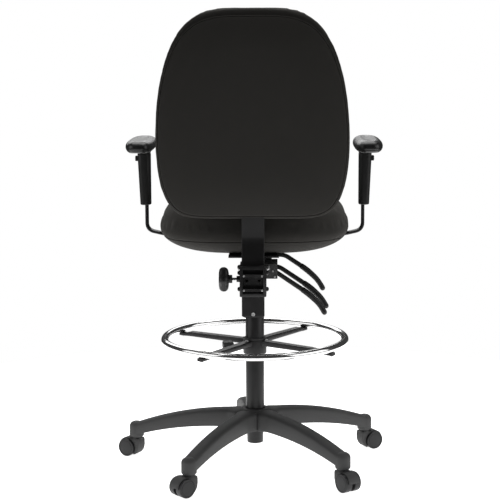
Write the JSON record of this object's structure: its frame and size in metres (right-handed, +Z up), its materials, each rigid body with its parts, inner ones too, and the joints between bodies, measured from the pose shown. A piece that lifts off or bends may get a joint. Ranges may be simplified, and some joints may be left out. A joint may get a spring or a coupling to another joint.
{
  "type": "drafting chair",
  "caption": "Tall drafting chair: padded tilting seat and tall padded back, height-adjustable arms, gas lift column with footring, legged base on casters.",
  "frame": {"origin": "on the floor, at the middle of the bottom of the chair's box; the column's axis stands at x -12.5 mm, y 22.4 mm because the casters trail to one side", "axes": "+Z up, the sitter faces -Y, +X is the sitter's left"},
  "size_m": [0.7414, 0.7298, 1.2375],
  "materials": {
    "nylon": "black glass-filled nylon, satin with a fine grain",
    "soft_plastic": "black moulded polypropylene, fine grain",
    "pad_plastic": "black self-skinned polyurethane foam, soft gloss",
    "wheel_plastic": "black nylon wheels, worn satin tread",
    "painted_steel": "black powder coat, semi-gloss",
    "chrome": "bright chrome plating",
    "zinc": "bright zinc plating",
    "spring_steel": "dark oiled spring wire",
    "fabric": "black woven upholstery cloth over foam"
  },
  "bodies": {
    "base": {"base_star": "nylon", "column_tube": "painted_steel", "column_bush": "nylon", "caster_stem_1": "zinc", "caster_stem_2": "zinc", "caster_stem_3": "zinc", "caster_stem_4": "zinc", "caster_stem_5": "zinc"},
    "footring": {"footring_spider": "painted_steel", "footring_hoop": "chrome", "footring_collar": "nylon"},
    "footring_clamp": {"footring_stud": "zinc", "footring_knob": "soft_plastic"},
    "lift_rod": {"gas_rod": "chrome", "thrust_bearing": "zinc", "retaining_clip": "zinc"},
    "mechanism": {"gas_spring": "chrome", "mechanism_tray": "painted_steel", "front_pivot": "zinc", "rear_pivot": "zinc", "tilt_spring": "spring_steel", "lever_box": "nylon", "lever_pin": "zinc", "height_lever_pin": "zinc"},
    "back_lever": {"lever_back": "soft_plastic"},
    "seat_lever": {"lever_seat": "soft_plastic"},
    "height_lever": {"lever_height": "soft_plastic"},
    "release_valve": {"release_pin": "zinc"},
    "seat": {"seat_plate": "painted_steel", "seat_pan": "fabric", "seat_cushion": "fabric", "arm_bar_left": "painted_steel", "arm_bar_right": "painted_steel"},
    "back_support": {"back_carrier": "painted_steel"},
    "back": {"back_bar": "painted_steel", "back_panel": "fabric", "back_cushion": "fabric"},
    "back_clamp": {"back_knob": "soft_plastic", "back_knob_stud": "zinc"},
    "arm_left": {"arm_sleeve_left": "soft_plastic", "arm_pad_left": "pad_plastic"},
    "arm_button_left": {"arm_button_left": "soft_plastic"},
    "arm_right": {"arm_sleeve_right": "soft_plastic", "arm_pad_right": "pad_plastic"},
    "arm_button_right": {"arm_button_right": "soft_plastic"},
    "caster_1": {"caster_hood_1": "nylon"},
    "wheel_1a": {"caster_wheel_1a": "wheel_plastic"},
    "wheel_1b": {"caster_wheel_1b": "wheel_plastic"},
    "caster_2": {"caster_hood_2": "nylon"},
    "wheel_2a": {"caster_wheel_2a": "wheel_plastic"},
    "wheel_2b": {"caster_wheel_2b": "wheel_plastic"},
    "caster_3": {"caster_hood_3": "nylon"},
    "wheel_3a": {"caster_wheel_3a": "wheel_plastic"},
    "wheel_3b": {"caster_wheel_3b": "wheel_plastic"},
    "caster_4": {"caster_hood_4": "nylon"},
    "wheel_4a": {"caster_wheel_4a": "wheel_plastic"},
    "wheel_4b": {"caster_wheel_4b": "wheel_plastic"},
    "caster_5": {"caster_hood_5": "nylon"},
    "wheel_5a": {"caster_wheel_5a": "wheel_plastic"},
    "wheel_5b": {"caster_wheel_5b": "wheel_plastic"}
  },
  "joints": [
    {"name": "seat_swivel", "type": "hinge", "parent": "base", "child": "lift_rod", "pos_m": [-0.01247, 0.02239, 0.059], "axis": [0, 0, 1], "continuous": true},
    {"name": "seat_height", "type": "slide", "parent": "lift_rod", "child": "mechanism", "axis": [0, 0, 1], "range_m": [-0.06, 0.19]},
    {"name": "seat_tilt", "type": "hinge", "parent": "mechanism", "child": "seat", "pos_m": [-0.01247, -0.03261, 0.5685], "axis": [1, 0, 0], "range_deg": [0, 6]},
    {"name": "back_tilt", "type": "hinge", "parent": "mechanism", "child": "back_support", "pos_m": [-0.01247, 0.18239, 0.5665], "axis": [-1, 0, 0], "range_deg": [0, 16]},
    {"name": "back_height", "type": "slide", "parent": "back_support", "child": "back", "axis": [0, 0, 1], "range_m": [0, 0.055]},
    {"name": "arm_height_left", "type": "slide", "parent": "seat", "child": "arm_left", "axis": [0, 0, 1], "range_m": [-0.04, 0.05]},
    {"name": "arm_height_right", "type": "slide", "parent": "seat", "child": "arm_right", "axis": [0, 0, 1], "range_m": [-0.04, 0.05]},
    {"name": "footring_height", "type": "slide", "parent": "base", "child": "footring", "axis": [0, 0, 1], "range_m": [-0.13, 0]},
    {"name": "height_lever_lift", "type": "hinge", "parent": "mechanism", "child": "height_lever", "pos_m": [-0.05347, 0.02239, 0.5735], "axis": [0, 1, 0], "range_deg": [0, 6], "stiffness_Nm_per_rad": 2, "springref_deg": -2.86},
    {"name": "release_valve_press", "type": "slide", "parent": "mechanism", "child": "release_valve", "axis": [0, 0, -1], "range_m": [0, 0.0042]},
    {"name": "back_lever_lift", "type": "hinge", "parent": "mechanism", "child": "back_lever", "pos_m": [-0.06247, 0.13039, 0.5525], "axis": [0, 1, 0], "range_deg": [0, 8]},
    {"name": "seat_lever_lift", "type": "hinge", "parent": "mechanism", "child": "seat_lever", "pos_m": [-0.06247, 0.09039, 0.5525], "axis": [0, 1, 0], "range_deg": [0, 8]},
    {"name": "arm_button_press_left", "type": "slide", "parent": "arm_left", "child": "arm_button_left", "axis": [-1, 0, 0], "range_m": [0, 0.003], "stiffness_N_per_m": 400, "springref_m": -0.001},
    {"name": "arm_button_press_right", "type": "slide", "parent": "arm_right", "child": "arm_button_right", "axis": [1, 0, 0], "range_m": [0, 0.003], "stiffness_N_per_m": 400, "springref_m": -0.001},
    {"name": "back_clamp_turn", "type": "hinge", "parent": "back_support", "child": "back_clamp", "pos_m": [-0.01247, 0.25439, 0.5495], "axis": [1, 0, 0], "range_deg": [0, 360]},
    {"name": "footring_clamp_turn", "type": "hinge", "parent": "footring", "child": "footring_clamp", "pos_m": [-0.01247, 0.02239, 0.3295], "axis": [0.9799, 0.1994, 0], "range_deg": [0, 360]},
    {"name": "caster_swivel_1", "type": "hinge", "parent": "base", "child": "caster_1", "pos_m": [0.15191, 0.31773, 0.0545], "axis": [0, 0, 1], "continuous": true},
    {"name": "caster_swivel_2", "type": "hinge", "parent": "base", "child": "caster_2", "pos_m": [-0.24256, 0.26999, 0.0545], "axis": [0, 0, 1], "continuous": true},
    {"name": "caster_swivel_3", "type": "hinge", "parent": "base", "child": "caster_3", "pos_m": [-0.31905, -0.11992, 0.0545], "axis": [0, 0, 1], "continuous": true},
    {"name": "caster_swivel_4", "type": "hinge", "parent": "base", "child": "caster_4", "pos_m": [0.02813, -0.31316, 0.0545], "axis": [0, 0, 1], "continuous": true},
    {"name": "caster_swivel_5", "type": "hinge", "parent": "base", "child": "caster_5", "pos_m": [0.3192, -0.04268, 0.0545], "axis": [0, 0, 1], "continuous": true},
    {"name": "wheel_roll_1a", "type": "hinge", "parent": "caster_1", "child": "wheel_1a", "pos_m": [0.16851, 0.33216, 0.025], "axis": [-0.6561, 0.7547, 0], "continuous": true},
    {"name": "wheel_roll_1b", "type": "hinge", "parent": "caster_1", "child": "wheel_1b", "pos_m": [0.16851, 0.33216, 0.025], "axis": [-0.6561, 0.7547, 0], "continuous": true},
    {"name": "wheel_roll_2a", "type": "hinge", "parent": "caster_2", "child": "wheel_2a", "pos_m": [-0.25549, 0.28779, 0.025], "axis": [-0.809, -0.5878, 0], "continuous": true},
    {"name": "wheel_roll_2b", "type": "hinge", "parent": "caster_2", "child": "wheel_2b", "pos_m": [-0.25549, 0.28779, 0.025], "axis": [-0.809, -0.5878, 0], "continuous": true},
    {"name": "wheel_roll_3a", "type": "hinge", "parent": "caster_3", "child": "wheel_3a", "pos_m": [-0.33848, -0.13024, 0.025], "axis": [0.4695, -0.8829, 0], "continuous": true},
    {"name": "wheel_roll_3b", "type": "hinge", "parent": "caster_3", "child": "wheel_3b", "pos_m": [-0.33848, -0.13024, 0.025], "axis": [0.4695, -0.8829, 0], "continuous": true},
    {"name": "wheel_roll_4a", "type": "hinge", "parent": "caster_4", "child": "wheel_4a", "pos_m": [0.03233, -0.33475, 0.025], "axis": [0.9816, 0.1908, 0], "continuous": true},
    {"name": "wheel_roll_4b", "type": "hinge", "parent": "caster_4", "child": "wheel_4b", "pos_m": [0.03233, -0.33475, 0.025], "axis": [0.9816, 0.1908, 0], "continuous": true},
    {"name": "wheel_roll_5a", "type": "hinge", "parent": "caster_5", "child": "wheel_5a", "pos_m": [0.33845, -0.05334, 0.025], "axis": [0.4848, 0.8746, 0], "continuous": true},
    {"name": "wheel_roll_5b", "type": "hinge", "parent": "caster_5", "child": "wheel_5b", "pos_m": [0.33845, -0.05334, 0.025], "axis": [0.4848, 0.8746, 0], "continuous": true}
  ],
  "couplings": [
    {"joint": "release_valve_press", "follows": "height_lever_lift", "m_per_rad": 0.04}
  ]
}
